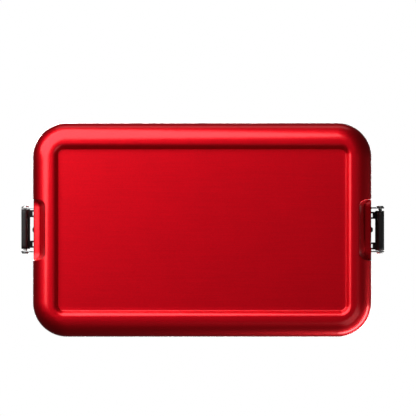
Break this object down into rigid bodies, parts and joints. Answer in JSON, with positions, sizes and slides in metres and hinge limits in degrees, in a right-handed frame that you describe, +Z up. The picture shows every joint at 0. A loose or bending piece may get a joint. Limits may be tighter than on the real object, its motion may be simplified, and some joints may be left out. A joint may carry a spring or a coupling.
{
  "type": "metal lunch box",
  "caption": "Flat drawn-aluminium lunch box with a lift-off sealed lid, swing-out clips at the short ends, finger scoops behind the clips and a recessed panel in each face.",
  "frame": {"origin": "middle of the outline, at the level of the foot ring the box stands on", "axes": "+X along the box's length from the left clip to the right clip, +Y across it, +Z up from the base to the lid"},
  "size_m": [0.2136, 0.125, 0.064],
  "materials": {
    "red_aluminium": "satin red coat outside, plain satin aluminium inside",
    "black_silicone": "soft matte",
    "stainless_sheet": "fine brushed",
    "rivet_steel": "pressed, dull",
    "pin_steel": "drawn, bright",
    "black_plastic": "fine spark-eroded matte"
  },
  "bodies": {
    "base": {"base_pan": "red_aluminium"},
    "lid": {"lid_shell": "red_aluminium", "lid_seal": "black_silicone", "left_bracket": "stainless_sheet", "right_bracket": "stainless_sheet", "left_rivets": "rivet_steel", "right_rivets": "rivet_steel", "left_pin": "pin_steel", "right_pin": "pin_steel"},
    "left_clip_lever": {"left_clip": "black_plastic"},
    "right_clip_lever": {"right_clip": "black_plastic"}
  },
  "joints": [
    {"name": "lid_lift", "type": "slide", "parent": "base", "child": "lid", "axis": [0, 0, 1], "range_m": [0, 0.08]},
    {"name": "left_clip_swing", "type": "hinge", "parent": "lid", "child": "left_clip_lever", "pos_m": [-0.10445, 0, 0.0514], "axis": [0, 1, 0], "range_deg": [0, 180]},
    {"name": "right_clip_swing", "type": "hinge", "parent": "lid", "child": "right_clip_lever", "pos_m": [0.10445, 0, 0.0514], "axis": [0, -1, 0], "range_deg": [0, 180]}
  ]
}
